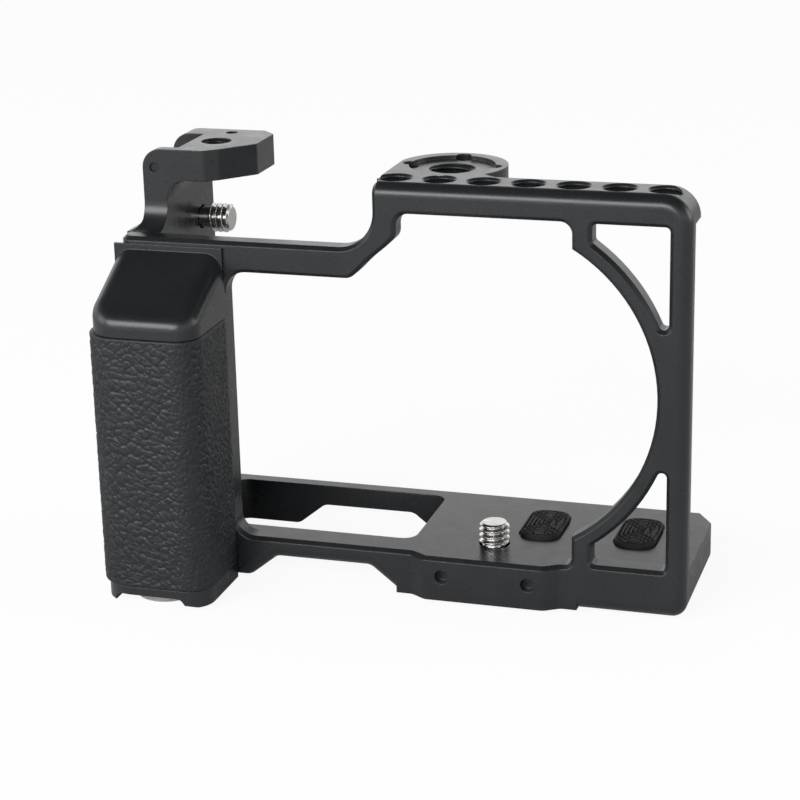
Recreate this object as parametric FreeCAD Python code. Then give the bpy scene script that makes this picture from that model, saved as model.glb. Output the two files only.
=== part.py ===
import FreeCAD, Part
import math
import os
from FreeCAD import Vector

# Camera cage with a leather front grip. Millimetres, +X to the photo's right, +Y to the rear, +Z up.
# The origin is the axis of the camera screw, on the seat that the camera stands on.

# Front frame
front_y = -8.88
frame_depth = 4.3
post_left = -77.4
post_inner = -54.5
bar_bottom = 58.0
bar_top = 64.4
jog_left = -22.3
jog_inner = -17.5
jog_corner_x = -27.4
jog_outer_r = 7.5
top_z = 78.05
top_bar_height = 6.1
right_x = 42.0
right_bar_width = 4.3
outer_corner_r = 6.0
foot_corner_r = 3.0
front_round = 2.6
edge_chamfer = 0.8

# Lens opening and the two windows beside it
lens_x = 0.6
lens_z = 36.4
lens_r = 35.0
lens_rim = 3.4
lens_side_x = 18.4
window_left_x = 22.4
window_r = 1.0
window_sill = 0.6

# Base plate, rails and the arch between them
base_thickness = 9.48
base_rear_y = 27.2
plate_left = -17.1
rail_front_y = -1.9
rear_rail_depth = 3.0
rail_height = 4.55
arch_left = -52.2
arch_right = -18.9
arch_run = 6.2
arch_r = 2.6
door_left = -66.5
door_corner_r = 3.0
rear_chamfer_x = 3.4
rear_chamfer_y = 5.4

# Front block with its two tapped holes
block_left = -14.0
block_right = 14.6
block_proud = 2.02
block_slope = 1.6
block_r = 2.2
block_hole_left = -8.6
block_hole_right = 9.7
block_hole_z = -4.2
block_hole_r = 1.5
block_hole_depth = 6.0

# Top bar and the round boss behind it
top_bar_depth = 9.98
hole_first_x = -18.9
hole_pitch = 9.13
hole_count = 7
hole_y = -2.95
hole_flare = 0.45
boss_x = -11.0
boss_y = 10.8
boss_r = 11.5
boss_recess_r = 8.9
boss_recess_depth = 0.8
boss_hole_r = 4.7625
boss_notch_r = 1.6
boss_blend_r = 2.2

# Inch threads, as plain cylinders
quarter_r = 3.175
quarter_hole_r = 3.2
quarter_tap_r = 2.65

# Side wall and the accessory bracket on it
wall_inner = -70.0
wall_upper_left = -75.2
wall_rear_y = 25.6
wall_flare_r = 2.1
port_low_z = 8.0
port_high_z = 46.0
port_front_y = 2.0
port_rear_y = 19.5
port_r = 4.0
bracket_top = 81.0
bracket_thickness = 6.5
bracket_front_y = 0.3
bracket_rear_y = 22.8
bracket_right = -53.0
bracket_neck_x = -61.6
bracket_slope_x = -59.0
bracket_slope_y = 2.4
bracket_nose_y = 9.3
bracket_tail_chamfer = 3.2
bracket_under_r = 4.3
ear_r = 4.0
ramp_r = 5.5
notch_inner = -67.9
notch_front_y = 2.7
notch_rear_y = 17.0
notch_floor = 73.0
bracket_hole_x = -62.5
bracket_hole_y = 10.5
bracket_pilot_y = 19.5
bracket_pilot_r = 1.3

# Strap pin across the notch
pin_x = -72.6
pin_z = 77.0
pin_r = 1.05
pin_end_inset = 0.5
pin_socket = 3.5

# Grip
grip_left = -78.3
grip_front_y = -27.5
grip_inner_r = 5.0
grip_outer_r = 7.0
grip_wall = 3.6
cap_slope_low = 52.1
cap_slope_high = 62.3
cap_lip_top = 63.1
cap_lip = 0.7
cap_edge_r = 3.6
cavity_top = 48.5
cavity_r = 3.0
leather_low = -5.9
leather_high = 48.2
leather_back_gap = 0.5
leather_thickness = 1.3
leather_inset = 1.0
grip_arch_left = -75.1
grip_arch_right = -59.4
grip_arch_height = 1.8
grip_arch_r = 1.6

# Silver screw under the grip
knob_x = -67.0
knob_y = -17.6
knob_r = 6.65
knob_thickness = 3.3
knob_hang = 1.0
knob_travel = 1.05
knob_shank = 5.0
knob_pocket_r = 7.5
knob_pocket_depth = 3.9

# Fixing screws from the back of the frame into the grip
fixing_r = 1.5
fixing_head_r = 2.8
fixing_length = 10.0
fixing_left_x = -67.3
fixing_right_x = -58.6
fixing_high_z = 54.6
fixing_low_z = -3.1

# Camera screw, its washer and the ring that keeps it in the base
camera_screw_proud = 4.9
camera_neck_r = 2.6
seat_web = 3.6
head_r = 6.5
head_thickness = 2.4
head_pocket_r = 7.0
washer_thickness = 0.5
ring_thickness = 0.8
ring_low = 0.8
ring_inner_r = 5.8
ring_groove = 0.6
ring_gap = 3.0
slot_width = 1.6
slot_depth = 1.2
tip_chamfer = 0.6
fit_gap = 0.05

# Side screw through the wall under the bracket
side_y = 19.0
side_z = 62.3
side_tip_x = -62.7
side_thread_x = -69.0
side_neck_r = 2.3
side_head_r = 5.2
side_head_thickness = 2.8
side_pocket_r = 5.5
side_pocket_depth = 2.8

# Tripod hole in the underside
tripod_x = 18.3
tripod_y = 11.0
tripod_depth = 7.0

# Rubber pads let into the seat
pad_left_x = 8.1
pad_right_x = 28.4
pad_y = 11.9
pad_width = 9.2
pad_length = 17.3
pad_r = 4.2
pad_proud = 1.0
pad_recess = 0.6

# Levels that follow from the sizes above
base_z = -base_thickness
frame_back_y = front_y + frame_depth
top_under = top_z - top_bar_height
top_rear_y = front_y + top_bar_depth
right_inner = right_x - right_bar_width
bracket_under = bracket_top - bracket_thickness
far = 60.0


def place(u, v, plane, level):
    """A point given by two coordinates in a plane that lies at a level."""
    if plane == "XZ":
        return Vector(u, level, v)
    if plane == "XY":
        return Vector(u, v, level)
    return Vector(level, u, v)


def outline(corners, plane, level):
    """A closed wire through corners (u, v) or (u, v, radius), each radius being a tangent arc."""
    ends = []
    arcs = []
    count = len(corners)
    for i in range(count):
        here = corners[i]
        radius = here[2] if len(here) > 2 else 0.0
        p = Vector(here[0], here[1], 0)
        back = Vector(corners[i - 1][0], corners[i - 1][1], 0).sub(p).normalize()
        ahead_corner = corners[(i + 1) % count]
        ahead = Vector(ahead_corner[0], ahead_corner[1], 0).sub(p).normalize()
        if radius == 0.0:
            ends.append((p, p))
            arcs.append(None)
            continue
        half = back.getAngle(ahead) / 2.0
        run = radius / math.tan(half)
        first = p + back * run
        last = p + ahead * run
        bisector = (back + ahead).normalize()
        middle = p + bisector * (radius / math.sin(half) - radius)
        ends.append((first, last))
        arcs.append(middle)
    edges = []
    for i in range(count):
        first, last = ends[i]
        start = place(first.x, first.y, plane, level)
        if arcs[i] is not None:
            middle = place(arcs[i].x, arcs[i].y, plane, level)
            finish = place(last.x, last.y, plane, level)
            edges.append(Part.Arc(start, middle, finish).toShape())
            start = finish
        following = ends[(i + 1) % count][0]
        goal = place(following.x, following.y, plane, level)
        if start.distanceToPoint(goal) > 1e-6:
            edges.append(Part.LineSegment(start, goal).toShape())
    return Part.Wire(edges)


def prism(corners, plane, start, end):
    """The outline carried from one level to another, at right angles to its plane."""
    step = {"XZ": Vector(0, 1, 0), "XY": Vector(0, 0, 1), "YZ": Vector(1, 0, 0)}[plane]
    return Part.Face(outline(corners, plane, start)).extrude(step * (end - start))


def rod(r, start, end, axis, u, v):
    """A cylinder along an axis between two levels, centred at the other two coordinates."""
    if axis == "X":
        return Part.makeCylinder(r, end - start, Vector(start, u, v), Vector(1, 0, 0))
    if axis == "Y":
        return Part.makeCylinder(r, end - start, Vector(u, start, v), Vector(0, 1, 0))
    return Part.makeCylinder(r, end - start, Vector(u, v, start), Vector(0, 0, 1))


def block(x0, x1, y0, y1, z0, z1):
    """A box between two corners."""
    return Part.makeBox(x1 - x0, y1 - y0, z1 - z0, Vector(x0, y0, z0))


def edges_where(shape, test):
    """The edges whose every vertex passes a test."""
    return [e for e in shape.Edges if all(test(v.Point) for v in e.Vertexes)]


def near(a, b):
    return abs(a - b) < 1e-4


def body_corners():
    """Front view of the whole cage: post, bar, jog, top bar, right bar, base and the arch below."""
    arch_top = -rail_height
    return [
        (post_left, base_z, 2.0),
        (post_left, bar_top),
        (jog_left, bar_top, jog_outer_r),
        (jog_left, top_z),
        (right_x, top_z, outer_corner_r),
        (right_x, base_z, foot_corner_r),
        (arch_right, base_z, arch_r),
        (arch_right - arch_run, arch_top, arch_r),
        (arch_left + arch_run, arch_top, arch_r),
        (arch_left, base_z, arch_r),
    ]


def main_opening(y0, y1):
    """The view opening: a stepped window joined to the round lens opening."""
    corners = [
        (post_inner, 0.0, 4.0),
        (post_inner, bar_bottom, 4.5),
        (jog_corner_x, bar_bottom, 3.0),
        (jog_inner, bar_bottom + jog_inner - jog_corner_x - 0.8, 2.5),
        (jog_inner, top_under, 2.6),
        (lens_side_x, top_under, 2.5),
        (lens_side_x, 0.0, 1.5),
    ]
    window = prism(corners, "XZ", y0, y1)
    return window.fuse(rod(lens_r, y0, y1, "Y", lens_x, lens_z)).removeSplitter()


def side_window(low, high, y0, y1):
    """A window between the lens rim, the right bar and a sill or head."""
    slab = block(window_left_x, right_inner, y0, y1, low, high)
    cut = slab.cut(rod(lens_r + lens_rim, y0 - 1, y1 + 1, "Y", lens_x, lens_z))
    along = [e for e in cut.Edges if near(e.Vertexes[0].X, e.Vertexes[-1].X)
             and near(e.Vertexes[0].Z, e.Vertexes[-1].Z)]
    return cut.makeFillet(window_r, along)


def front_frame():
    """The flat front with rounded top and right edges and chamfered openings."""
    plate = prism(body_corners(), "XZ", front_y, frame_back_y)
    rounded = edges_where(plate, lambda p: near(p.y, front_y) and (near(p.z, top_z) or p.x > right_inner)
                          and p.z > base_z + foot_corner_r - 0.01)
    plate = plate.makeFillet(front_round, rounded[:1])
    y0, y1 = front_y - 1, frame_back_y + 1
    plate = plate.cut(main_opening(y0, y1))
    plate = plate.cut(side_window(lens_z + 2, top_under - 0.15, y0, y1))
    plate = plate.cut(side_window(window_sill, lens_z - 2, y0, y1))
    inside = edges_where(plate, lambda p: near(p.y, front_y) and post_inner - 0.1 < p.x < right_inner + 0.1
                         and -0.1 < p.z < top_under + 0.1)
    return plate.makeChamfer(edge_chamfer, inside)


def base():
    """Seat plate, front and rear rails and the left end round the battery door opening."""
    plan = prism([
        (post_left, frame_back_y),
        (post_left, base_rear_y, 2.0),
        (right_x - rear_chamfer_x, base_rear_y),
        (right_x, base_rear_y - rear_chamfer_y),
        (right_x, frame_back_y),
    ], "XY", base_z, 0.0)
    door = prism([
        (door_left, rail_front_y, door_corner_r),
        (door_left, base_rear_y - rear_rail_depth, door_corner_r),
        (plate_left, base_rear_y - rear_rail_depth, door_corner_r),
        (plate_left, rail_front_y, door_corner_r),
    ], "XY", base_z - 1, 1)
    side_view = prism(body_corners(), "XZ", frame_back_y - 1, base_rear_y + 1)
    return plan.cut(door).common(side_view)


def front_block():
    """The thicker front of the base, with sloped ends."""
    y1 = front_y - block_proud
    solid = prism([
        (block_left - 5, front_y + 2),
        (block_left - 5, front_y),
        (block_left - block_slope, front_y, block_r),
        (block_left + block_slope, y1, block_r),
        (block_right - block_slope, y1, block_r),
        (block_right + block_slope, front_y, block_r),
        (block_right + 5, front_y),
        (block_right + 5, front_y + 2),
    ], "XY", base_z, 0.0)
    rim = edges_where(solid, lambda p: near(p.z, 0.0) and p.y < front_y + 0.01)
    solid = solid.makeChamfer(edge_chamfer, rim)
    for x in (block_hole_left, block_hole_right):
        solid = solid.cut(rod(block_hole_r, y1 - 1, y1 + block_hole_depth, "Y", x, block_hole_z))
    return solid


def top_bar():
    """The deep part of the top bar with the round boss behind it."""
    plan = prism([
        (jog_left, frame_back_y),
        (jog_left, boss_y + 0.01),
        (boss_x, boss_y + 0.01),
        (boss_x + boss_r, top_rear_y, boss_blend_r),
        (right_x, top_rear_y),
        (right_x, frame_back_y),
    ], "XY", top_under, top_z)
    side_view = prism(body_corners(), "XZ", frame_back_y - 1, far)
    boss = rod(boss_r, top_under, top_z, "Z", boss_x, boss_y)
    return plan.fuse(boss).common(side_view)


def side_wall():
    """The wall on the left with the bracket's two ears, seen from the front and from the side."""
    front_view = prism([
        (post_left, base_z, 2.0),
        (post_left, bar_top),
        (wall_upper_left, bar_top, wall_flare_r),
        (wall_upper_left, bracket_top, ear_r),
        (wall_inner, bracket_top),
        (wall_inner, base_z),
    ], "XZ", frame_back_y, wall_rear_y)
    side_view = prism([
        (frame_back_y - 1, base_z - 1),
        (wall_rear_y, base_z - 1),
        (wall_rear_y, bracket_under - 2, 2.0),
        (bracket_rear_y, bracket_under, 2.0),
        (bracket_rear_y, bracket_top),
        (bracket_front_y, bracket_top),
        (bracket_front_y, bar_top, ramp_r),
        (frame_back_y - 1, bar_top),
    ], "YZ", post_left - 1, wall_inner + 1)
    port = prism([
        (port_front_y, port_low_z, port_r),
        (port_rear_y, port_low_z, port_r),
        (port_rear_y, port_high_z, port_r),
        (port_front_y, port_high_z, port_r),
    ], "YZ", post_left - 1, wall_inner + 1)
    return front_view.common(side_view).cut(port)


def bracket():
    """The horizontal plate of the bracket with the rounded underside where it leaves the wall."""
    plate = prism([
        (wall_inner - 1, bracket_front_y),
        (bracket_neck_x, bracket_front_y, 1.6),
        (bracket_slope_x, bracket_slope_y, 2.5),
        (bracket_right, bracket_nose_y, 0.8),
        (bracket_right, bracket_rear_y - bracket_tail_chamfer, 0.8),
        (bracket_right - bracket_tail_chamfer, bracket_rear_y, 0.8),
        (wall_inner - 1, bracket_rear_y),
    ], "XY", bracket_under, bracket_top)
    haunch = prism([
        (wall_inner - 1, bracket_under - bracket_under_r - 0.5),
        (wall_inner, bracket_under - bracket_under_r - 0.5),
        (wall_inner, bracket_under, bracket_under_r),
        (wall_inner + bracket_under_r + 0.5, bracket_under),
        (wall_inner + bracket_under_r + 0.5, bracket_under + 1),
        (wall_inner - 1, bracket_under + 1),
    ], "XZ", bracket_front_y, bracket_rear_y)
    return plate.fuse(haunch)


def cage_frame():
    """The one machined piece that everything else is fastened to."""
    frame = front_frame()
    post = block(post_left, post_inner, front_y, frame_back_y, 2.0, bar_bottom - 4.5)
    frame = frame.fuse([post, base(), front_block(), top_bar(), side_wall(), bracket()])
    frame = frame.removeSplitter()
    cuts = []
    for i in range(hole_count):
        x = hole_first_x + i * hole_pitch
        cuts.append(rod(quarter_hole_r, top_under - 1, top_z + 1, "Z", x, hole_y))
        cuts.append(Part.makeCone(quarter_hole_r, quarter_hole_r + hole_flare + 0.5, hole_flare + 0.5,
                                  Vector(x, hole_y, top_z - hole_flare), Vector(0, 0, 1)))
    cuts.append(rod(boss_recess_r, top_z - boss_recess_depth, top_z + 1, "Z", boss_x, boss_y))
    cuts.append(rod(boss_hole_r, top_under - 1, top_z + 1, "Z", boss_x, boss_y))
    for i in range(4):
        angle = math.radians(90 * i)
        x = boss_x + boss_recess_r * math.cos(angle)
        y = boss_y + boss_recess_r * math.sin(angle)
        cuts.append(rod(boss_notch_r, top_z - boss_recess_depth - 0.8, top_z + 1, "Z", x, y))
    cuts.append(rod(quarter_hole_r, bracket_under - 1, bracket_top + 1, "Z", bracket_hole_x, bracket_hole_y))
    cuts.append(rod(bracket_pilot_r, bracket_under - 1, bracket_top + 1, "Z",
                    bracket_hole_x, bracket_pilot_y))
    cuts.append(block(post_left - 1, notch_inner, notch_front_y, notch_rear_y, notch_floor, bracket_top + 1))
    cuts.append(rod(pin_r, bracket_front_y - 1, notch_rear_y + pin_socket, "Y", pin_x, pin_z))
    cuts.append(rod(quarter_hole_r + fit_gap, -seat_web - 1, 1, "Z", 0, 0))
    cuts.append(rod(head_pocket_r, base_z - 1, -seat_web, "Z", 0, 0))
    groove_low = base_z + ring_low
    cuts.append(rod(head_pocket_r + ring_groove, groove_low, groove_low + ring_thickness, "Z", 0, 0))
    cuts.append(rod(quarter_tap_r, post_left - 1, wall_inner + 1, "X", side_y, side_z))
    cuts.append(rod(side_pocket_r, post_left - 1, post_left + side_pocket_depth, "X", side_y, side_z))
    cuts.append(rod(quarter_hole_r, base_z - 1, base_z + tripod_depth, "Z", tripod_x, tripod_y))
    cuts.append(pad_shape(pad_left_x, -pad_recess, 1.0))
    cuts.append(pad_shape(pad_right_x, -pad_recess, 1.0))
    cuts.append(cavity(front_y - 1, frame_back_y + 1))
    for x, z, y in fixing_places():
        cuts.append(fixing_screw(x, z, y))
    for tool in cuts:
        frame = frame.cut(tool)
    return frame


def cavity(y0, y1):
    """The hollow behind the grip's front wall, open to the camera."""
    return prism([
        (grip_left + grip_wall, 0.0, cavity_r),
        (post_inner - grip_wall, 0.0, cavity_r),
        (post_inner - grip_wall, cavity_top, cavity_r),
        (grip_left + grip_wall, cavity_top, cavity_r),
    ], "XZ", y0, y1)


def fixing_places():
    """Where the four grip screws start: x, z and the face that the head is flush with."""
    return [
        (fixing_left_x, fixing_high_z, frame_back_y),
        (fixing_right_x, fixing_high_z, frame_back_y),
        (fixing_left_x, fixing_low_z, rail_front_y),
        (fixing_right_x, fixing_low_z, rail_front_y),
    ]


def fixing_screw(x, z, y):
    """A countersunk screw that points forward from the face at y."""
    cone = fixing_head_r - fixing_r
    head = Part.makeCone(fixing_head_r, fixing_r, cone, Vector(x, y, z), Vector(0, -1, 0))
    shank = Part.makeCylinder(fixing_r, fixing_length, Vector(x, y, z), Vector(0, -1, 0))
    return head.fuse(shank).removeSplitter()


def fixing_screws():
    """The four grip screws, each with a hex socket."""
    group = []
    for x, z, y in fixing_places():
        screw = fixing_screw(x, z, y)
        socket = Part.makeCylinder(1.0, 1.1, Vector(x, y, z), Vector(0, -1, 0))
        group.append(screw.cut(socket))
    return Part.makeCompound(group)


def grip_plan(grow):
    """Plan view corners of the grip, grown outwards by a distance on its three free sides."""
    return [
        (post_inner + grow, front_y),
        (post_inner + grow, grip_front_y - grow, grip_inner_r + grow),
        (grip_left - grow, grip_front_y - grow, grip_outer_r + grow),
        (grip_left - grow, front_y),
    ]


def leather_band(grow):
    """A band round the grip between the leather's edges, grown by a distance."""
    band = prism(grip_plan(grow), "XY", leather_low, leather_high)
    keep = block(grip_left - 5, post_inner + 5, grip_front_y - 5, front_y - leather_back_gap,
                 leather_low - 1, leather_high + 1)
    return band.common(keep)


def grip_body():
    """The machined grip: sloping cap, recess for the leather, hollow back, arched foot."""
    stock = prism(grip_plan(0.0), "XY", base_z, cap_lip_top)
    profile = prism([
        (front_y, base_z),
        (grip_front_y, base_z, 1.2),
        (grip_front_y, cap_slope_low),
        (front_y - cap_lip, cap_slope_high - 0.4),
        (front_y - cap_lip, cap_lip_top),
        (front_y, cap_lip_top),
    ], "YZ", grip_left - 1, post_inner + 1)
    solid = stock.common(profile)
    slope_dir = (cap_slope_high - 0.4 - cap_slope_low) / (grip_front_y - front_y + cap_lip)

    def on_slope(p):
        level = cap_slope_low + (p.y - grip_front_y) * -slope_dir
        return abs(p.z - level) < 1e-3 and p.y < front_y - cap_lip + 1e-3

    loop = [e for e in edges_where(solid, on_slope)
            if not all(near(v.Y, front_y - cap_lip) for v in e.Vertexes)]
    solid = solid.makeFillet(cap_edge_r, loop)
    solid = solid.cut(leather_band(0.0).cut(leather_band(-leather_inset)))
    solid = solid.cut(cavity(grip_front_y + grip_wall, front_y + 1))
    arch = prism([
        (grip_arch_left, base_z - 1),
        (grip_arch_left, base_z + grip_arch_height, grip_arch_r),
        (grip_arch_right, base_z + grip_arch_height, grip_arch_r),
        (grip_arch_right, base_z - 1),
    ], "XZ", grip_front_y - 1, knob_y)
    solid = solid.cut(arch)
    solid = solid.cut(rod(knob_pocket_r, base_z - 1, base_z + knob_pocket_depth, "Z", knob_x, knob_y))
    solid = solid.cut(rod(quarter_hole_r, base_z, 1, "Z", knob_x, knob_y))
    for x, z, y in fixing_places():
        solid = solid.cut(fixing_screw(x, z, y))
    return solid


def grip_leather():
    """The leather cover, bonded into the recess on three sides of the grip."""
    return leather_band(leather_thickness - leather_inset).cut(leather_band(-leather_inset))


def pad_shape(x, low, high):
    """A long pad with round ends."""
    half_w = pad_width / 2
    half_l = pad_length / 2
    return prism([
        (x - half_w, pad_y - half_l, pad_r),
        (x + half_w, pad_y - half_l, pad_r),
        (x + half_w, pad_y + half_l, pad_r),
        (x - half_w, pad_y + half_l, pad_r),
    ], "XY", low, high)


def washer(outer_r, inner_r, start, end, axis, u, v):
    """A flat ring."""
    return rod(outer_r, start, end, axis, u, v).cut(rod(inner_r, start - 1, end + 1, axis, u, v))


def camera_screw():
    """The captive screw that holds the camera: slotted head below, thread above the seat."""
    head_top = -seat_web - washer_thickness
    head_low = head_top - head_thickness
    neck = rod(camera_neck_r, head_top, 0.0, "Z", 0, 0)
    thread = rod(quarter_r, 0.0, camera_screw_proud, "Z", 0, 0)
    tip = edges_where(thread, lambda p: near(p.z, camera_screw_proud))
    thread = thread.makeChamfer(tip_chamfer, tip[:1])
    head = rod(head_r, head_low, head_top, "Z", 0, 0)
    slot = block(-head_r - 1, head_r + 1, -slot_width / 2, slot_width / 2, head_low - 1,
                 head_low + slot_depth)
    return head.fuse([neck, thread]).cut(slot).removeSplitter()


def camera_screw_washer():
    return washer(head_r - 0.5, camera_neck_r + fit_gap, -seat_web - washer_thickness, -seat_web, "Z", 0, 0)


def camera_screw_ring():
    """The sprung ring in the groove below the head, open at one side."""
    low = base_z + ring_low
    ring = washer(head_pocket_r + ring_groove - 0.05, ring_inner_r, low, low + ring_thickness, "Z", 0, 0)
    return ring.cut(block(0, head_pocket_r + 2, -ring_gap / 2, ring_gap / 2, low - 1, low + 2))


def side_screw():
    """The captive screw in the side wall, its thread clear of the wall and its neck inside it."""
    head_right = post_left + side_pocket_depth - washer_thickness
    head_left = head_right - side_head_thickness
    head = rod(side_head_r, head_left, head_right, "X", side_y, side_z)
    neck = rod(side_neck_r, head_right, side_thread_x, "X", side_y, side_z)
    thread = rod(quarter_r, side_thread_x, side_tip_x, "X", side_y, side_z)
    tip = edges_where(thread, lambda p: near(p.x, side_tip_x))
    thread = thread.makeChamfer(tip_chamfer, tip[:1])
    slot = block(head_left - 1, head_left + slot_depth, side_y - side_head_r - 1, side_y + side_head_r + 1,
                 side_z - slot_width / 2, side_z + slot_width / 2)
    return head.fuse([neck, thread]).cut(slot).removeSplitter()


def side_screw_washer():
    right = post_left + side_pocket_depth
    return washer(side_head_r - 0.4, side_neck_r + fit_gap, right - washer_thickness, right, "X",
                  side_y, side_z)


def grip_screw():
    """The silver thumb screw under the grip, drawn a little backed off as in the photo."""
    low = base_z - knob_hang
    top = low + knob_thickness
    head = rod(knob_r, low, top, "Z", knob_x, knob_y)
    rim = edges_where(head, lambda p: near(p.z, low))
    head = head.makeFillet(0.8, rim[:1])
    shank = rod(quarter_r, top, top + knob_shank, "Z", knob_x, knob_y)
    slot = block(knob_x - knob_r - 1, knob_x + knob_r + 1, knob_y - slot_width / 2, knob_y + slot_width / 2,
                 low - 1, low + slot_depth)
    return head.fuse(shank).cut(slot).removeSplitter()


def grip_screw_washer():
    low = base_z - knob_hang + knob_thickness
    return washer(knob_r - 0.6, quarter_r + fit_gap, low, low + washer_thickness, "Z", knob_x, knob_y)


def strap_pin():
    """The steel pin across the notch that a wrist strap loops round."""
    return rod(pin_r, bracket_front_y + pin_end_inset, notch_rear_y + pin_socket, "Y", pin_x, pin_z)


def main():
    os.makedirs("parts", exist_ok=True)
    pieces = {
        "cage_frame": cage_frame(),
        "grip_body": grip_body(),
        "grip_leather": grip_leather(),
        "grip_fixing_screws": fixing_screws(),
        "grip_screw": grip_screw(),
        "grip_screw_washer": grip_screw_washer(),
        "camera_screw": camera_screw(),
        "camera_screw_washer": camera_screw_washer(),
        "camera_screw_ring": camera_screw_ring(),
        "side_screw": side_screw(),
        "side_screw_washer": side_screw_washer(),
        "strap_pin": strap_pin(),
        "pad_left": pad_shape(pad_left_x, -pad_recess, pad_proud),
        "pad_right": pad_shape(pad_right_x, -pad_recess, pad_proud),
    }
    for name, shape in pieces.items():
        shape.exportStep("parts/" + name + ".step")
        box = shape.BoundBox
        print(name, "valid" if shape.isValid() else "INVALID", len(shape.Solids), "solids",
              round(shape.Volume, 1), "mm3",
              [round(v, 2) for v in (box.XMin, box.XMax, box.YMin, box.YMax, box.ZMin, box.ZMax)])


main()
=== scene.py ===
import math
import bmesh
import bpy
import numpy as np
from mathutils import Matrix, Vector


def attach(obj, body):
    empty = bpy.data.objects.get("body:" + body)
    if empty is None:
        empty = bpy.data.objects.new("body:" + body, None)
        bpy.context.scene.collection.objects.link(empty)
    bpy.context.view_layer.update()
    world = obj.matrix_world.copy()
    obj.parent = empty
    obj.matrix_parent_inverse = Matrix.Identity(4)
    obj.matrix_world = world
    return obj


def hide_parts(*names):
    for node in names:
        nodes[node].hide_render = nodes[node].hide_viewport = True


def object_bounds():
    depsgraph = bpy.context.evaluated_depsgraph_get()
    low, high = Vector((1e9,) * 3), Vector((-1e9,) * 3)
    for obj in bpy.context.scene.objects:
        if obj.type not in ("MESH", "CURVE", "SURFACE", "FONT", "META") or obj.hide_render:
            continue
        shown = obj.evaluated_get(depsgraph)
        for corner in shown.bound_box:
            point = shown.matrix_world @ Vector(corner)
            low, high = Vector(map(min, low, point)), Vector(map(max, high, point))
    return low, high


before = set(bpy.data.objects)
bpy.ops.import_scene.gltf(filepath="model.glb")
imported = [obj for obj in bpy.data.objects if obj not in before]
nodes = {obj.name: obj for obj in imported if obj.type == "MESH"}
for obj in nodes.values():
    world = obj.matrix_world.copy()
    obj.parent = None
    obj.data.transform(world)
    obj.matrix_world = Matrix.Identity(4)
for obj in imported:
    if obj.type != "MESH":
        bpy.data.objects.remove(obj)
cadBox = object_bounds()
print("frame loaded:", len(nodes), "solids' nodes")

mm = 0.001
fullTurn = 2 * math.pi
sharpAngle = math.radians(28)

# camera, matched to the photograph's straight edges
cameraView = {
    "place": (112.54, -420.44, 175.72),
    "azimuth": 17.5,
    "elevation": 18.28,
    "roll": 1.38,
    "lens": 100.4,
    "sensor": 36.0,
    "clip": (0.01, 50),
}


def placeCamera(s):
    # forward from azimuth and elevation, then right and down turned about it by the roll
    az, el, roll = (math.radians(s[k]) for k in ("azimuth", "elevation", "roll"))
    forward = np.array([-math.sin(az) * math.cos(el), math.cos(az) * math.cos(el), -math.sin(el)])
    level = np.cross(forward, [0, 0, 1])
    level /= np.linalg.norm(level)
    plumb = np.cross(forward, level)
    right = math.cos(roll) * level + math.sin(roll) * plumb
    down = -math.sin(roll) * level + math.cos(roll) * plumb
    data = bpy.data.cameras.new("view")
    data.lens = s["lens"]
    data.sensor_width = s["sensor"]
    data.clip_start, data.clip_end = s["clip"]
    camera = bpy.data.objects.new("view", data)
    bpy.context.collection.objects.link(camera)
    turn = Matrix(np.column_stack([right, -down, -forward]).tolist()).to_4x4()
    camera.matrix_world = Matrix.Translation([v * mm for v in s["place"]]) @ turn
    bpy.context.scene.camera = camera


placeCamera(cameraView)

# studio: white floor, sky levels from the horizon up, four soft boxes (metres, watts)
studio = {
    "floorHalf": 6.0,
    "floorGap": 0.1,
    "floorColor": 0.82,
    "floorGlow": 1.06,
    "floorSeen": 0.86,
    "floorRough": 0.9,
    "aim": (-0.02, 0, 0.03),
    # the ramp starts at the horizon, since directions below it give less than 0
    "skyStops": ((0.0, 0.9), (0.1, 1.15), (0.3, 1.1), (0.5, 0.35), (0.72, 0.05), (1.0, 0.05)),
    "lamps": {
        "key": {"size": (1.7, 0.62), "power": 22.0, "place": (-0.46, -1.36, 0.66)},
        "back": {"size": (2.2, 0.7), "power": 1.9, "place": (-0.5, 1.7, 0.55)},
        "side": {"size": (0.8, 0.8), "power": 5.0, "place": (1.5, 0.5, 0.55)},
        "left": {"size": (0.7, 0.7), "power": 3.0, "place": (-1.5, -0.5, 0.5)},
    },
}


def makeNode(tree, kind, **values):
    node = tree.nodes.new(kind)
    for name, value in values.items():
        if hasattr(node, name):
            setattr(node, name, value)
        else:
            node.inputs[name.replace("_", " ")].default_value = value
    return node


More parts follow.
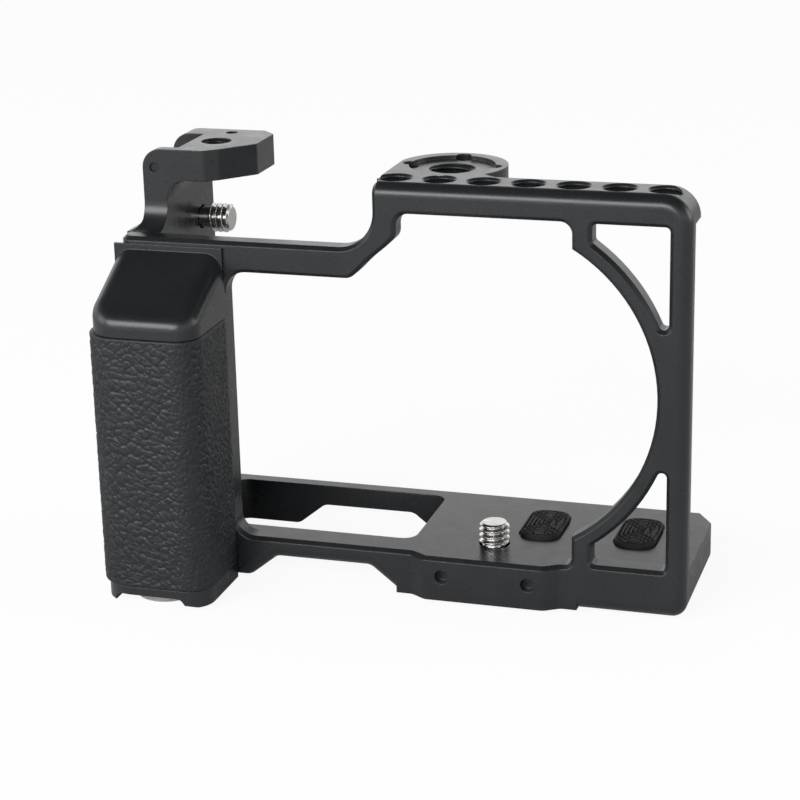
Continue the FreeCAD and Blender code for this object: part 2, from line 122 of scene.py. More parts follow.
def buildStudio(s):
    # the floor is a plain matt grey to every ray but the camera's, which sees most of it glow
    world = bpy.data.worlds.new("studio")
    bpy.context.scene.world = world
    world.use_nodes = True
    tree = world.node_tree
    background = tree.nodes["Background"]
    direction = makeNode(tree, "ShaderNodeTexCoord")
    split = makeNode(tree, "ShaderNodeSeparateXYZ")
    ramp = makeNode(tree, "ShaderNodeValToRGB")
    stops = s["skyStops"]
    while len(ramp.color_ramp.elements) < len(stops):
        ramp.color_ramp.elements.new(0.5)
    for element, (spot, level) in zip(ramp.color_ramp.elements, stops):
        element.position = spot
        element.color = (level, level, level, 1)
    tree.links.new(direction.outputs["Generated"], split.inputs[0])
    tree.links.new(split.outputs["Z"], ramp.inputs["Fac"])
    tree.links.new(ramp.outputs["Color"], background.inputs["Color"])

    half = s["floorHalf"]
    low = cadBox[0][2] - s["floorGap"] * mm
    mesh = bpy.data.meshes.new("studio_floor")
    corners = [(-half, -half, low), (half, -half, low), (half, half, low), (-half, half, low)]
    mesh.from_pydata(corners, [], [(0, 1, 2, 3)])
    floor = bpy.data.objects.new("studio_floor", mesh)
    bpy.context.collection.objects.link(floor)
    paint = bpy.data.materials.new("studio_floor")
    paint.use_nodes = True
    tree = paint.node_tree
    shader = tree.nodes["Principled BSDF"]
    shader.inputs["Base Color"].default_value = (s["floorColor"],) * 3 + (1,)
    shader.inputs["Roughness"].default_value = s["floorRough"]
    shader.inputs["Specular IOR Level"].default_value = 0.0
    glow = makeNode(tree, "ShaderNodeEmission", Strength=s["floorGlow"])
    seen = makeNode(tree, "ShaderNodeLightPath")
    share = makeNode(tree, "ShaderNodeMath", operation="MULTIPLY")
    share.inputs[1].default_value = s["floorSeen"]
    mix = makeNode(tree, "ShaderNodeMixShader")
    tree.links.new(seen.outputs["Is Camera Ray"], share.inputs[0])
    tree.links.new(share.outputs[0], mix.inputs[0])
    tree.links.new(shader.outputs[0], mix.inputs[1])
    tree.links.new(glow.outputs[0], mix.inputs[2])
    tree.links.new(mix.outputs[0], tree.nodes["Material Output"].inputs["Surface"])
    mesh.materials.append(paint)

    for name, lamp in s["lamps"].items():
        data = bpy.data.lights.new(name, "AREA")
        data.shape = "RECTANGLE"
        data.size, data.size_y = lamp["size"]
        data.energy = lamp["power"]
        light = bpy.data.objects.new(name, data)
        bpy.context.collection.objects.link(light)
        place = np.array(lamp["place"])
        turn = Matrix(lookAlong(np.array(s["aim"]) - place).tolist()).to_4x4()
        light.matrix_world = Matrix.Translation(place.tolist()) @ turn
    bpy.context.scene.view_settings.view_transform = "Standard"


def lookAlong(aim):
    # columns of a turn whose -Z points along aim
    back = -aim / np.linalg.norm(aim)
    side = np.cross([0, 0, 1], back)
    side /= np.linalg.norm(side)
    return np.column_stack([side, np.cross(back, side), back])


buildStudio(studio)
print("camera and studio placed")


# shared effects, each a node group made once
def makeGroup(name, inputs, outputs):
    group = bpy.data.node_groups.new(name, "ShaderNodeTree")
    for label, kind, value in inputs:
        socket = group.interface.new_socket(label, in_out="INPUT", socket_type=kind)
        if value is not None:
            socket.default_value = value
    for label, kind in outputs:
        group.interface.new_socket(label, in_out="OUTPUT", socket_type=kind)
    return group, makeNode(group, "NodeGroupInput"), makeNode(group, "NodeGroupOutput")


def blastGrainGroup():
    # bead blasted or cast grain: fine noise over a coarser one, as a height
    group, start, end = makeGroup(
        "blast grain",
        [("Vector", "NodeSocketVector", None), ("Fine", "NodeSocketFloat", 3000.0),
         ("Coarse", "NodeSocketFloat", 900.0), ("Share", "NodeSocketFloat", 0.4)],
        [("Height", "NodeSocketFloat")])
    fine = makeNode(group, "ShaderNodeTexNoise", Detail=3.0, Roughness=0.6)
    coarse = makeNode(group, "ShaderNodeTexNoise", Detail=2.0, Roughness=0.5)
    blend = makeNode(group, "ShaderNodeMix", data_type="FLOAT")
    link = group.links.new
    link(start.outputs["Vector"], fine.inputs["Vector"])
    link(start.outputs["Vector"], coarse.inputs["Vector"])
    link(start.outputs["Fine"], fine.inputs["Scale"])
    link(start.outputs["Coarse"], coarse.inputs["Scale"])
    link(start.outputs["Share"], blend.inputs[0])
    link(fine.outputs[0], blend.inputs[2])
    link(coarse.outputs[0], blend.inputs[3])
    link(blend.outputs[0], end.inputs["Height"])
    return group


def toneDriftGroup():
    # slow drift between two levels, for colour and roughness that are never quite even
    group, start, end = makeGroup(
        "tone drift",
        [("Vector", "NodeSocketVector", None), ("Scale", "NodeSocketFloat", 60.0),
         ("Low", "NodeSocketFloat", 0.0), ("High", "NodeSocketFloat", 1.0)],
        [("Value", "NodeSocketFloat")])
    noise = makeNode(group, "ShaderNodeTexNoise", Detail=4.0, Roughness=0.55)
    spread = makeNode(group, "ShaderNodeMapRange")
    spread.inputs["From Min"].default_value = 0.3
    spread.inputs["From Max"].default_value = 0.7
    link = group.links.new
    link(start.outputs["Vector"], noise.inputs["Vector"])
    link(start.outputs["Scale"], noise.inputs["Scale"])
    link(noise.outputs[0], spread.inputs["Value"])
    link(start.outputs["Low"], spread.inputs["To Min"])
    link(start.outputs["High"], spread.inputs["To Max"])
    link(spread.outputs[0], end.inputs["Value"])
    return group


def edgeWearAndHighlightGroup():
    # where the rounded normal leaves the face's own, an edge is near; noise breaks the line up. The
    # mask lightens edges, partly as wear and partly as a painted highlight.
    group, start, end = makeGroup(
        "edge wear and painted highlight",
        [("Vector", "NodeSocketVector", None), ("Radius", "NodeSocketFloat", 0.0003),
         ("Scale", "NodeSocketFloat", 700.0), ("Amount", "NodeSocketFloat", 1.0)],
        [("Mask", "NodeSocketFloat"), ("Normal", "NodeSocketVector")])
    bevel = makeNode(group, "ShaderNodeBevel")
    bevel.samples = 6
    surface = makeNode(group, "ShaderNodeNewGeometry")
    dot = makeNode(group, "ShaderNodeVectorMath", operation="DOT_PRODUCT")
    rim = makeNode(group, "ShaderNodeMapRange")
    # cosine between the two normals where the wear and painted highlight starts and where it is full
    rim.inputs["From Min"].default_value = 0.995
    rim.inputs["From Max"].default_value = 0.85
    noise = makeNode(group, "ShaderNodeTexNoise", Detail=3.0)
    broken = makeNode(group, "ShaderNodeMapRange")
    broken.inputs["From Min"].default_value = 0.42
    broken.inputs["From Max"].default_value = 0.62
    broken.inputs["To Min"].default_value = 0.35
    both = makeNode(group, "ShaderNodeMath", operation="MULTIPLY")
    scaled = makeNode(group, "ShaderNodeMath", operation="MULTIPLY")
    link = group.links.new
    link(start.outputs["Radius"], bevel.inputs["Radius"])
    link(bevel.outputs[0], dot.inputs[0])
    link(surface.outputs["Normal"], dot.inputs[1])
    link(dot.outputs["Value"], rim.inputs["Value"])
    link(start.outputs["Vector"], noise.inputs["Vector"])
    link(start.outputs["Scale"], noise.inputs["Scale"])
    link(noise.outputs[0], broken.inputs["Value"])
    link(rim.outputs[0], both.inputs[0])
    link(broken.outputs[0], both.inputs[1])
    link(both.outputs[0], scaled.inputs[0])
    link(start.outputs["Amount"], scaled.inputs[1])
    link(scaled.outputs[0], end.inputs["Mask"])
    link(bevel.outputs[0], end.inputs["Normal"])
    return group


blastGrain = blastGrainGroup()
toneDrift = toneDriftGroup()
edgeWearAndHighlight = edgeWearAndHighlightGroup()


def useGroup(tree, group, **values):
    node = tree.nodes.new("ShaderNodeGroup")
    node.node_tree = group
    for name, value in values.items():
        node.inputs[name].default_value = value
    return node


# roughness drifts on a finer scale than colour
roughPerDrift = 3.1


def finishMaterial(name, s):
    # colour drifts between dark and light, edges take a lighter colour that is partly wear and partly
    # a painted highlight, grain goes into the normal
    material = bpy.data.materials.new(name)
    material.use_nodes = True
    tree = material.node_tree
    link = tree.links.new
    shader = tree.nodes["Principled BSDF"]
    shader.inputs["Metallic"].default_value = s["metallic"]
    shader.inputs["Specular IOR Level"].default_value = s.get("specular", 0.5)
    shader.inputs["IOR"].default_value = 1.5
    place = makeNode(tree, "ShaderNodeTexCoord")
    spot = place.outputs["Object"]
    drift = useGroup(tree, toneDrift, Scale=s["driftScale"])
    color = makeNode(tree, "ShaderNodeMix", data_type="RGBA")
    color.inputs[6].default_value = (*s["dark"], 1)
    color.inputs[7].default_value = (*s["light"], 1)
    link(spot, drift.inputs["Vector"])
    link(drift.outputs["Value"], color.inputs[0])
    # edges lightened by the edge mask: partly wear, partly a painted highlight
    wearAndHighlight = useGroup(tree, edgeWearAndHighlight, Radius=s["edgeRadius"] * mm, Scale=s["wearAndHighlightScale"],
                    Amount=s["wearAndHighlight"])
    wornAndHighlitEdge = makeNode(tree, "ShaderNodeMix", data_type="RGBA")
    wornAndHighlitEdge.inputs[7].default_value = (*s["wornAndHighlitEdge"], 1)
    link(spot, wearAndHighlight.inputs["Vector"])
    link(wearAndHighlight.outputs["Mask"], wornAndHighlitEdge.inputs[0])
    link(color.outputs[2], wornAndHighlitEdge.inputs[6])
    link(wornAndHighlitEdge.outputs[2], shader.inputs["Base Color"])
    rough = useGroup(tree, toneDrift, Scale=s["driftScale"] * roughPerDrift,
                     Low=s["roughLow"], High=s["roughHigh"])
    link(spot, rough.inputs["Vector"])
    link(rough.outputs["Value"], shader.inputs["Roughness"])
    grain = useGroup(tree, blastGrain, Fine=s["grainFine"], Coarse=s["grainCoarse"],
                     Share=s["grainShare"])
    bump = makeNode(tree, "ShaderNodeBump")
    bump.inputs["Strength"].default_value = s["grainStrength"]
    bump.inputs["Distance"].default_value = s["grainDepth"] * mm
    link(spot, grain.inputs["Vector"])
    link(grain.outputs["Height"], bump.inputs["Height"])
    link(wearAndHighlight.outputs["Normal"], bump.inputs["Normal"])
    link(bump.outputs[0], shader.inputs["Normal"])
    return material


# each finish's edge colour is lighter than its body: partly wear, partly a painted highlight
anodised = {
    "dark": (0.0108, 0.0123, 0.0142), "light": (0.0155, 0.0174, 0.0198),
    "wornAndHighlitEdge": (0.026, 0.029, 0.033), "metallic": 0.0,
    "roughLow": 0.25, "roughHigh": 0.31, "driftScale": 70.0,
    "edgeRadius": 0.3, "wearAndHighlight": 0.4, "wearAndHighlightScale": 900.0,
    "grainFine": 5200.0, "grainCoarse": 1500.0, "grainShare": 0.35,
    "grainStrength": 0.3, "grainDepth": 0.02,
}
stainless = {
    "dark": (0.56, 0.55, 0.53), "light": (0.68, 0.67, 0.65), "wornAndHighlitEdge": (0.8, 0.79, 0.77),
    "metallic": 1.0, "roughLow": 0.16, "roughHigh": 0.26, "driftScale": 220.0,
    "edgeRadius": 0.12, "wearAndHighlight": 0.5, "wearAndHighlightScale": 1500.0,
    "grainFine": 7000.0, "grainCoarse": 2500.0, "grainShare": 0.5,
    "grainStrength": 0.15, "grainDepth": 0.01,
}
springSteel = {
    **stainless, "dark": (0.3, 0.3, 0.3), "light": (0.4, 0.4, 0.39),
    "roughLow": 0.25, "roughHigh": 0.35,
}
oxideSteel = {
    **stainless, "dark": (0.02, 0.02, 0.021), "light": (0.035, 0.035, 0.036),
    "wornAndHighlitEdge": (0.12, 0.12, 0.12), "metallic": 0.6, "roughLow": 0.35, "roughHigh": 0.45,
}
nylon = {
    **anodised, "dark": (0.02, 0.02, 0.02), "light": (0.03, 0.03, 0.03),
    "roughLow": 0.5, "roughHigh": 0.6,
}
rubber = {
    "dark": (0.008, 0.008, 0.009), "light": (0.014, 0.014, 0.015), "wornAndHighlitEdge": (0.03, 0.03, 0.03),
    "metallic": 0.0, "specular": 0.4, "roughLow": 0.55, "roughHigh": 0.7, "driftScale": 300.0,
    "edgeRadius": 0.1, "wearAndHighlight": 0.4, "wearAndHighlightScale": 1500.0,
    "grainFine": 6000.0, "grainCoarse": 1800.0, "grainShare": 0.4,
    "grainStrength": 0.4, "grainDepth": 0.03,
}
leather = {
    "dark": (0.0042, 0.0054, 0.007), "light": (0.0078, 0.0094, 0.0116),
    "wornAndHighlitEdge": (0.03, 0.032, 0.036), "metallic": 0.0,
    "roughLow": 0.42, "roughHigh": 0.56, "driftScale": 150.0,
    "edgeRadius": 0.12, "wearAndHighlight": 0.35, "wearAndHighlightScale": 800.0,
    "grainFine": 5500.0, "grainCoarse": 2200.0, "grainShare": 0.55,
    "grainStrength": 0.45, "grainDepth": 0.05,
}

frameMetal = finishMaterial("black anodised metal", anodised)
screwMetal = finishMaterial("bright stainless", stainless)
springMetal = finishMaterial("spring steel", springSteel)
oxideMetal = finishMaterial("black oxide steel", oxideSteel)
nylonBlack = finishMaterial("black nylon", nylon)
padRubber = finishMaterial("pad rubber", rubber)
gripLeather = finishMaterial("pebbled leather", leather)

nodeFinish = {
    "cage_frame": frameMetal, "grip_body": frameMetal, "grip_fixing_screws": oxideMetal,
    "grip_screw_washer": nylonBlack, "camera_screw_washer": nylonBlack,
    "side_screw_washer": nylonBlack,
    "camera_screw_ring": springMetal, "strap_pin": oxideMetal,
}
for nodeName, finish in nodeFinish.items():
    for holder in nodes[nodeName].material_slots:
        holder.material = finish
print("finishes set on the solids")


# surfaces on grids
def gridFaces(rows, columns, closeRows, closeColumns):
    # quads between neighbouring rows and columns, wrapping where asked
    down = np.arange(rows if closeRows else rows - 1)
    across = np.arange(columns if closeColumns else columns - 1)
    a, b = np.meshgrid(down, across, indexing="ij")
    a2 = (a + 1) % rows
    b2 = (b + 1) % columns
    quads = [a * columns + b, a * columns + b2, a2 * columns + b2, a2 * columns + b]
    return np.stack(quads, -1).reshape(-1, 4)


def meshPiece(name, points, faces, material, smooth=True):
    # points (n, 3) in millimetres into a mesh; faces are an array of quads or a list of any sizes
    mesh = bpy.data.meshes.new(name)
    mesh.vertices.add(len(points))
    metres = (np.asarray(points, np.float64) * mm).astype(np.float32)
    mesh.vertices.foreach_set("co", metres.ravel())
    sizes = np.array([len(face) for face in faces])
    flat = np.concatenate([np.asarray(face) for face in faces])
    starts = np.concatenate([[0], np.cumsum(sizes)[:-1]])
    mesh.loops.add(int(sizes.sum()))
    mesh.loops.foreach_set("vertex_index", flat.astype(np.int32))
    mesh.polygons.add(len(sizes))
    mesh.polygons.foreach_set("loop_start", starts.astype(np.int32))
    mesh.update(calc_edges=True)
    mesh.validate()
    mesh.materials.append(material)
    piece = bpy.data.objects.new(name, mesh)
    bpy.context.collection.objects.link(piece)
    mesh.shade_smooth()
    if not smooth:
        mesh.set_sharp_from_angle(angle=sharpAngle)
    return piece


def capRings(rows, columns):
    # fans that close the first and last ring of a column-closed grid onto two added points
    around = np.arange(columns)
    after = (around + 1) % columns
    first = rows * columns
    last = first + 1
    top = (rows - 1) * columns
    start = [[int(first), int(b), int(a)] for a, b in zip(around, after)]
    end = [[int(last), int(top + a), int(top + b)] for a, b in zip(around, after)]
    return start + end


# as shares of the pitch: how deep a thread is cut, and its flats at crest and root
outsideThread = {"depth": 0.6134, "crest": 0.14, "root": 0.24}
insideThread = {"depth": 0.5413, "crest": 0.2, "root": 0.2}


def threadDip(turns, flatCrest, flatRoot):
    # 0 on a crest and 1 in a root: a V with a flat crest and a flat root, once per turn
    away = np.abs((turns % 1.0) - 0.5) * 2.0
    return np.clip((1.0 - away - flatCrest) / (1.0 - flatCrest - flatRoot), 0, 1)


def turnedScrew(name, s, material):
    # radius at each height and angle: the profile's own, or the thread's radius less a helical V
    # where the profile says that a thread is cut; a knurl takes a cosine ripple off the rim
    heights, radii, cut = [], [], []
    for (z0, r0, c0), (z1, r1, c1) in zip(s["profile"][:-1], s["profile"][1:]):
        turns = abs(z1 - z0) / s["pitch"]
        steps = max(1, int(round(turns * s["rowsPerTurn"]))) if c0 and c1 else 1
        t = np.linspace(0, 1, steps, endpoint=False)
        heights.append(z0 + (z1 - z0) * t)
        radii.append(r0 + (r1 - r0) * t)
        cut.append(c0 + (c1 - c0) * t)
    last = s["profile"][-1]
    z = np.concatenate(heights + [[last[0]]])[:, None]
    r = np.concatenate(radii + [[last[1]]])[:, None]
    c = np.concatenate(cut + [[last[2]]])[:, None]
    angle = np.linspace(0, fullTurn, s["around"], endpoint=False)[None, :]
    form = outsideThread
    dip = threadDip(z / s["pitch"] - angle / fullTurn, form["crest"], form["root"])
    groove = s["pitch"] * form["depth"] * dip
    radius = np.minimum(r, np.where(c > 0, s["threadR"] - groove * c, r))
    knurl = s.get("knurl")
    if knurl:
        inBand = (z > knurl["from"]) & (z < knurl["to"])
        ripple = 0.5 - 0.5 * np.cos(angle * knurl["count"])
        radius = radius - np.where(inBand, knurl["depth"] * ripple, 0)
    points = np.stack([radius * np.cos(angle), radius * np.sin(angle), z + 0 * angle], -1)
    rows, columns = points.shape[:2]
    ends = np.array([[0, 0, float(z[0, 0])], [0, 0, float(z[-1, 0])]])
    faces = gridFaces(rows, columns, False, True).tolist() + capRings(rows, columns)
    allPoints = np.concatenate([points.reshape(-1, 3), ends])
    piece = meshPiece(name, allPoints, faces, material, smooth=False)
    cutSlot(piece, s["slot"])
    return piece


def cutSlot(piece, slot):
    # a straight slot across the head, taken out with a slab
    x, y, z0, z1 = slot["half"], slot["width"] / 2, slot["from"], slot["to"]
    corners = [(a * x, b * y, c) for c in (z0, z1) for b in (-1, 1) for a in (-1, 1)]
    quads = np.array([(0, 2, 3, 1), (4, 5, 7, 6), (0, 1, 5, 4),
                      (2, 6, 7, 3), (0, 4, 6, 2), (1, 3, 7, 5)])
    slab = meshPiece(piece.name + "_slab", corners, quads, piece.data.materials[0])
    cutter = piece.modifiers.new("slot", "BOOLEAN")
    cutter.object = slab
    cutter.solver = "EXACT"
    graph = bpy.context.evaluated_depsgraph_get()
    cutMesh = bpy.data.meshes.new_from_object(piece.evaluated_get(graph))
    piece.modifiers.clear()
    piece.data = cutMesh
    cutMesh.set_sharp_from_angle(angle=sharpAngle)
    bpy.data.objects.remove(slab)


# turns that bring a piece built along Z onto another axis
axisTurn = {
    "Z": Matrix.Identity(4),
    "X": Matrix(((0, 0, 1, 0), (1, 0, 0, 0), (0, 1, 0, 0), (0, 0, 0, 1))),
}


def layAlong(piece, axis, place):
    # turns and moves the mesh itself, so that the object stays at the origin
    piece.data.transform(Matrix.Translation([v * mm for v in place]) @ axisTurn[axis])


cameraScrewShape = {
    "pitch": 1.27, "rowsPerTurn": 22, "around": 96, "threadR": 3.175,
    # height, radius, how deep the thread is cut there
    "profile": [(-6.5, 0.4, 0), (-6.5, 6.1, 0), (-6.1, 6.5, 0), (-4.3, 6.5, 0), (-4.1, 6.3, 0),
                (-4.1, 2.6, 0), (0.0, 2.6, 0), (0.25, 3.175, 1), (4.3, 3.175, 1),
                (4.9, 2.5, 1), (4.9, 0.3, 0)],
    "slot": {"half": 9.0, "width": 1.6, "from": -8.0, "to": -5.3},
}
sideScrewShape = {
    "pitch": 1.27, "rowsPerTurn": 22, "around": 96, "threadR": 3.175,
    "profile": [(-15.2, 0.4, 0), (-15.2, 4.9, 0), (-14.9, 5.2, 0), (-12.6, 5.2, 0), (-12.4, 5.0, 0),
                (-12.4, 2.3, 0), (-5.2, 2.3, 0), (-4.7, 3.175, 1), (-1.0, 3.175, 1), (-0.4, 2.5, 1),
                (-0.4, 0.3, 0)],
    "slot": {"half": 8.0, "width": 1.6, "from": -17.0, "to": -14.0},
}
gripScrewShape = {
    "pitch": 1.27, "rowsPerTurn": 18, "around": 240, "threadR": 3.175,
    "profile": [(-10.48, 0.4, 0), (-10.48, 5.85, 0), (-10.25, 6.42, 0), (-9.9, 6.65, 0),
                (-7.55, 6.65, 0), (-7.18, 6.3, 0), (-7.18, 2.6, 0), (-6.6, 3.175, 1),
                (-2.7, 3.175, 1), (-2.18, 2.6, 1), (-2.18, 0.3, 0)],
    "slot": {"half": 9.0, "width": 1.6, "from": -12.0, "to": -9.28},
    "knurl": {"from": -9.95, "to": -7.5, "depth": 0.22, "count": 60},
}


def dressScrews():
    for name, shape, axis, place, body in (
            ("camera_screw", cameraScrewShape, "Z", (0, 0, 0), "camera_screw_body"),
            ("side_screw", sideScrewShape, "X", (-62.7, 19, 62.3), "side_screw_body"),
            ("grip_screw", gripScrewShape, "Z", (-67, -17.6, 0), "grip_screw_body")):
        piece = turnedScrew(name + "_turned", shape, screwMetal)
        layAlong(piece, axis, place)
        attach(piece, body)
        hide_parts(name)


dressScrews()
print("screws turned")

# threads in the plain holes of the frame: (x, y, lowest z, highest z, radius, pitch) in millimetres
holeThreads = {
    "inset": 0.01, "around": 56, "rowsPerTurn": 16,
    "top": [(-18.9 + 9.13 * i, -2.95, 72.2, 77.45, 3.2, 1.27) for i in range(7)],
    "boss": [(-11.0, 10.8, 72.2, 77.0, 4.7625, 1.5875)],
    "bracket": [(-62.5, 10.5, 74.8, 80.6, 3.2, 1.27)],
    "tripod": [(18.3, 11.0, -9.1, -2.8, 3.2, 1.27)],
}


def threadedSleeve(x, y, low, high, r, pitch, s):
    # inside: a helical V standing in from the hole's wall, fading out over half a turn at each end;
    # outside: a plain wall that closes it
    rows = int((high - low) / pitch * s["rowsPerTurn"])
    z = np.linspace(low, high, rows)[:, None]
    angle = np.linspace(0, fullTurn, s["around"], endpoint=False)[None, :]
    form = insideThread
    ridge = 1 - threadDip(z / pitch - angle / fullTurn, form["crest"], form["root"])
    fade = np.clip(np.minimum(z - low, high - z) / (0.5 * pitch), 0, 1)
    inner = r - s["inset"] * 2 - pitch * form["depth"] * ridge * fade
    outer = np.full_like(inner, r - s["inset"])
    radius = np.concatenate([inner, outer[::-1]])
    height = np.concatenate([z, z[::-1]]) + 0 * angle
    return np.stack([x + radius * np.cos(angle), y + radius * np.sin(angle), height], -1)


def addHoleThreads(s):
    for group in ("top", "boss", "bracket", "tripod"):
        allPoints, allFaces, count = [], [], 0
        for x, y, low, high, r, pitch in s[group]:
            points = threadedSleeve(x, y, low, high, r, pitch, s)
            rows, columns = points.shape[:2]
            allPoints.append(points.reshape(-1, 3))
            allFaces.append(gridFaces(rows, columns, True, True)[:, ::-1] + count)
            count += rows * columns
        piece = meshPiece(group + "_hole_threads", np.concatenate(allPoints),
                          np.concatenate(allFaces), frameMetal)
        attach(piece, "cage")


addHoleThreads(holeThreads)
print("hole threads cut")


# noise as arrays
def latticeValues(ix, iy, seed):
    # a repeatable value from 0 to 1 for each whole-number cell
    table = np.random.default_rng(seed).random(4096)
    return table[(ix * 73 + iy * 1031 + ((ix * iy) % 97) * 17) % 4096]


def softNoise(x, y, seed):
    # values at lattice corners, blended smoothly between them
    ix, iy = np.floor(x).astype(int), np.floor(y).astype(int)
    fx, fy = x - ix, y - iy
    fx, fy = fx * fx * (3 - 2 * fx), fy * fy * (3 - 2 * fy)
    low = latticeValues(ix, iy, seed) * (1 - fx) + latticeValues(ix + 1, iy, seed) * fx
    high = latticeValues(ix, iy + 1, seed) * (1 - fx) + latticeValues(ix + 1, iy + 1, seed) * fx
    return low * (1 - fy) + high * fy


def cellGap(x, y, seed):
    # distance to the second nearest jittered point less that to the nearest, which is 0 on the line
    # between two cells, and the distance to the nearest
    ix, iy = np.floor(x).astype(int), np.floor(y).astype(int)
    first = np.full(x.shape, 9.0)
    second = np.full(x.shape, 9.0)
    for dx in (-1, 0, 1):
        for dy in (-1, 0, 1):
            cx, cy = ix + dx, iy + dy
            px = cx + latticeValues(cx, cy, seed)
            py = cy + latticeValues(cx, cy, seed + 1)
            d = np.hypot(px - x, py - y)
            second = np.minimum(second, np.maximum(first, d))
            first = np.minimum(first, d)
    return second - first, first


# leather: a skin round the grip, with pebbles between creases, longer folds and a fine grain over all
leatherSkin = {
    "left": -79.2, "right": -54.2, "front": -27.8, "back": -9.4, "rightR": 5.3, "leftR": 7.3,
    # "coarse" is the number of outer faces along one inner face
    "low": -5.9, "high": 48.2, "rows": 265, "columns": 271, "coarse": 6, "under": 1.15,
    "cell": 1.55, "slant": 26.0, "stretch": 1.2, "groove": 0.24, "grooveWidth": 0.26,
    "foldLength": 2.3, "foldWidth": 1.2, "foldEdge": 0.16,
    "fineCell": 0.8, "fineGroove": 0.07, "fineEdge": 0.3, "warp": 1.0, "warpSize": 5,
    "innerBlend": 4.0, "innerShrink": 0.3, "edgeRoll": 0.5, "settle": 1.2,
}


def gripPath(s, along):
    # from the rear right corner forward, round the front and back along the left: straight runs with
    # quarter circles between them, and the outward normal at each point
    runRight = s["back"] - s["front"] - s["rightR"]
    runFront = s["right"] - s["left"] - s["rightR"] - s["leftR"]
    runLeft = s["back"] - s["front"] - s["leftR"]
    arcRight, arcLeft = s["rightR"] * math.pi / 2, s["leftR"] * math.pi / 2
    marks = np.cumsum([0, runRight, arcRight, runFront, arcLeft, runLeft])
    x, y, nx, ny = (np.zeros_like(along) for _ in range(4))
    a = along < marks[1]
    x[a], y[a], nx[a], ny[a] = s["right"], s["back"] - along[a], 1, 0
    a = (along >= marks[1]) & (along < marks[2])
    t = (along[a] - marks[1]) / s["rightR"]
    nx[a], ny[a] = np.cos(t), -np.sin(t)
    x[a] = s["right"] - s["rightR"] + s["rightR"] * nx[a]
    y[a] = s["front"] + s["rightR"] + s["rightR"] * ny[a]
    a = (along >= marks[2]) & (along < marks[3])
    x[a] = s["right"] - s["rightR"] - (along[a] - marks[2])
    y[a], nx[a], ny[a] = s["front"], 0, -1
    a = (along >= marks[3]) & (along < marks[4])
    t = (along[a] - marks[3]) / s["leftR"]
    nx[a], ny[a] = -np.sin(t), -np.cos(t)
    x[a] = s["left"] + s["leftR"] + s["leftR"] * nx[a]
    y[a] = s["front"] + s["leftR"] + s["leftR"] * ny[a]
    a = along >= marks[4]
    y[a] = s["front"] + s["leftR"] + (along[a] - marks[4])
    x[a], nx[a], ny[a] = s["left"], -1, 0
    return x, y, nx, ny, marks


def leatherRelief(s, u, v, marks):
    # pebbles rise as a quarter circle from the line between two cells and fall off towards the cell's
    # rim; cells are drawn out along a slant on the front and upright on the inner side
    inner = np.clip((marks[2] - u) / s["innerBlend"], 0, 1)
    turn = np.radians(s["slant"] * (1 - inner) + 90 * inner)
    wide = s["warpSize"]
    acrossShift = (softNoise(u / wide, v / wide, 3) - 0.5) * s["warp"] * 2
    upShift = (softNoise(u / wide + 40, v / wide, 4) - 0.5) * s["warp"] * 2
    a = (u + acrossShift) * np.cos(turn) + (v + upShift) * np.sin(turn)
    b = -(u + acrossShift) * np.sin(turn) + (v + upShift) * np.cos(turn)
    size = s["cell"] * (1 - s["innerShrink"] * inner)
    gap, near = cellGap(a / (size * s["stretch"]), b / size, 11)
    pebble = np.clip(gap / s["grooveWidth"], 0, 1)
    pebble = np.sqrt(pebble * (2 - pebble)) - 0.5 * near * near
    crease = cellGap(a / (size * s["foldLength"]) + 17, b / (size * s["foldWidth"]), 37)[0]
    fold = np.clip(crease / s["foldEdge"], 0, 1)
    gapFine = cellGap(a / s["fineCell"] + 31, b / s["fineCell"], 23)[0]
    fine = np.clip(gapFine / s["fineEdge"], 0, 1)
    relief = (pebble - 0.75) * s["groove"] + (fine - 0.8) * s["fineGroove"]
    return relief + (fold - 1) * 0.5 * s["groove"]


def makeLeather(s):
    # the relief stands out from the path along its normal, settles near the border and rolls down over
    # it by a quarter circle; the back is a coarser grid at a fixed depth, joined round the border
    total = gripPath(s, np.array([0.0]))[4][-1]
    columns, rows, coarse = s["columns"], s["rows"], s["coarse"]
    u, v = np.meshgrid(np.linspace(0, total, columns), np.linspace(s["low"], s["high"], rows),
                       indexing="ij")
    x, y, nx, ny, marks = gripPath(s, u)
    border = np.minimum(np.minimum(u, total - u), np.minimum(v - s["low"], s["high"] - v))
    t = np.clip(1 - border / s["edgeRoll"], 0, 1)
    roll = s["edgeRoll"] * (1 - np.sqrt(1 - t * t))
    rise = leatherRelief(s, u, v, marks) * np.clip(border / s["settle"], 0.1, 1) - roll
    outer = np.stack([x + nx * rise, y + ny * rise, v], -1)
    inner = np.stack([x - nx * s["under"], y - ny * s["under"], v], -1)[::coarse, ::coarse]
    count = columns * rows
    few, low = inner.shape[:2]
    faces = gridFaces(columns, rows, False, False).tolist()
    faces += (gridFaces(few, low, False, False)[:, ::-1] + count).tolist()
    loop = borderLoop(columns, rows)
    backLoop = borderLoop(few, low) + count
    for i, (a, b) in enumerate(zip(backLoop, np.roll(backLoop, -1))):
        run = [int(loop[(i * coarse + k) % len(loop)]) for k in range(coarse + 1)]
        faces.append(run + [int(b), int(a)])
    points = np.concatenate([outer.reshape(-1, 3), inner.reshape(-1, 3)])
    piece = meshPiece("grip_leather_skin", points, faces, gripLeather)
    fixNormals(piece)
    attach(piece, "cage")
    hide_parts("grip_leather")


def borderLoop(columns, rows):
    # the border of a grid in order, once round
    return np.concatenate([np.arange(rows), np.arange(1, columns) * rows + rows - 1,
                           (columns - 1) * rows + np.arange(rows - 2, -1, -1),
                           np.arange(columns - 2, 0, -1) * rows])


def fixNormals(piece):
    # turns every face of a closed piece outwards
    work = bmesh.new()
    work.from_mesh(piece.data)
    bmesh.ops.recalc_face_normals(work, faces=work.faces)
    work.to_mesh(piece.data)
    work.free()


makeLeather(leatherSkin)
print("leather wrapped")

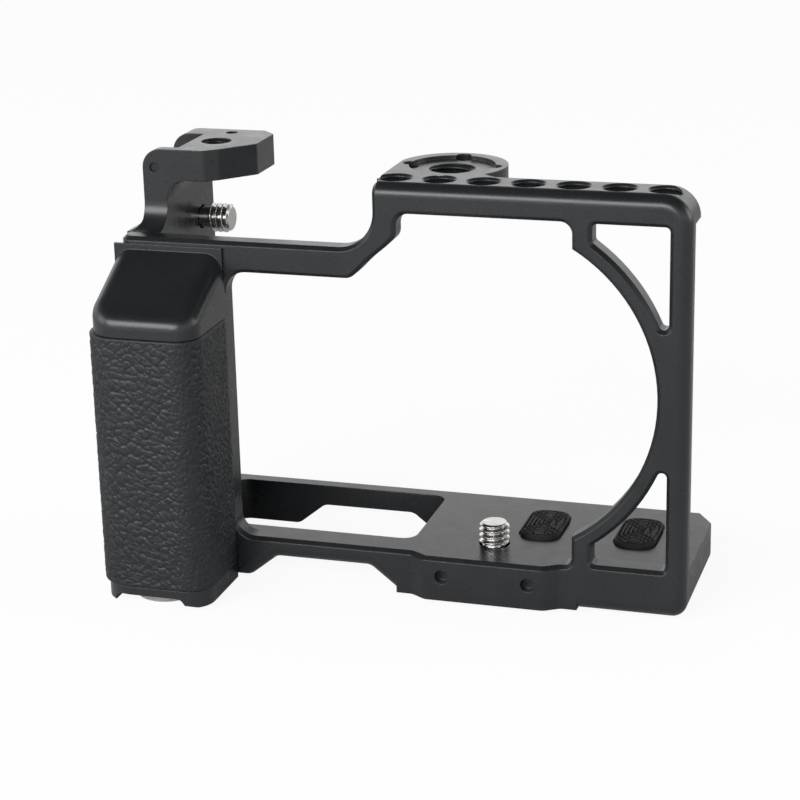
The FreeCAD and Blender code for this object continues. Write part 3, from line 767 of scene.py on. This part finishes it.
# rubber pads with a waffle of small raised diamonds
padShape = {
    "width": 8.6, "length": 14.8, "radius": 3.2, "low": -0.55, "high": 1.0, "edge": 0.3,
    "pitch": 1.15, "groove": 0.5, "studReach": 0.8, "studSlope": 0.3, "edgeFall": 0.8,
    "plainRim": 0.15, "rimFade": 0.2, "rings": 56, "around": 288,
    # how far the last ring shrinks, just short of a point
    "shrink": 0.999,
}


def makePad(name, place, s):
    # rings shrink from the rounded outline to the middle; the height drops by the groove's depth where
    # the larger distance to the nearest crossing of two diagonal sets of lines passes the stud's reach
    angle = np.linspace(0, fullTurn, s["around"], endpoint=False)
    halfW, halfL, r = s["width"] / 2, s["length"] / 2, s["radius"]
    cx = np.sign(np.cos(angle)) * (halfW - r)
    cy = np.sign(np.sin(angle)) * (halfL - r)
    rimX, rimY = cx + r * np.cos(angle), cy + r * np.sin(angle)
    depth = np.concatenate([[0], np.linspace(0, 1, s["rings"])])[:, None]
    shrink = 1 - depth * s["shrink"]
    x, y = rimX[None, :] * shrink, rimY[None, :] * shrink
    inwards = (1 - shrink) * halfW
    a = (x + y) / math.sqrt(2) / s["pitch"]
    b = (x - y) / math.sqrt(2) / s["pitch"]
    away = np.maximum(np.abs(a - np.round(a)), np.abs(b - np.round(b))) * 2
    stud = np.clip((s["studReach"] - away) / s["studSlope"], 0, 1)
    within = np.clip((inwards - s["plainRim"]) / s["rimFade"], 0, 1)
    height = s["high"] - s["groove"] * (1 - stud) * within
    height -= np.clip(s["edge"] - inwards, 0, s["edge"]) * s["edgeFall"]
    height[0] = s["low"]
    points = np.stack([x + place[0], y + place[1], height], -1)
    rows, columns = points.shape[:2]
    centres = np.array([[place[0], place[1], s["low"]], [place[0], place[1], s["high"]]])
    faces = gridFaces(rows, columns, False, True).tolist() + capRings(rows, columns)
    allPoints = np.concatenate([points.reshape(-1, 3), centres])
    piece = meshPiece(name + "_waffle", allPoints, faces, padRubber, smooth=False)
    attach(piece, "cage")
    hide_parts(name)


makePad("pad_left", (8.1, 11.9), padShape)
makePad("pad_right", (28.4, 11.9), padShape)
print("pads pressed")
